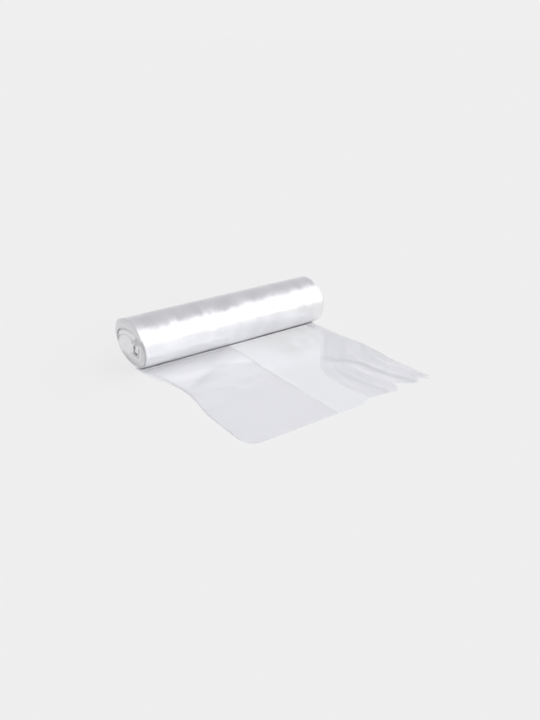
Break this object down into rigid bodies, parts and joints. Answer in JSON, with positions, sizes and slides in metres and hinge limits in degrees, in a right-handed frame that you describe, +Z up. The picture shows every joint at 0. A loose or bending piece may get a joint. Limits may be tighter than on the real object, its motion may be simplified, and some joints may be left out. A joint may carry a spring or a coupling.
{
  "type": "bin bag roll",
  "caption": "Coreless roll of clear gusseted film sacks lying on its flat spot, the first sack drawn out flat in front.",
  "frame": {"origin": "on the surface that the roll lies on, below the middle of the roll's axis", "axes": "+X along the roll, -Y towards the front edge of the loose sack, +Z up"},
  "size_m": [0.371, 0.3447, 0.085],
  "materials": {
    "clear_film": "glossy clear polyethylene film, milky where many turns lie together"
  },
  "bodies": {
    "root": {"bag_web": "clear_film"}
  },
  "joints": []
}
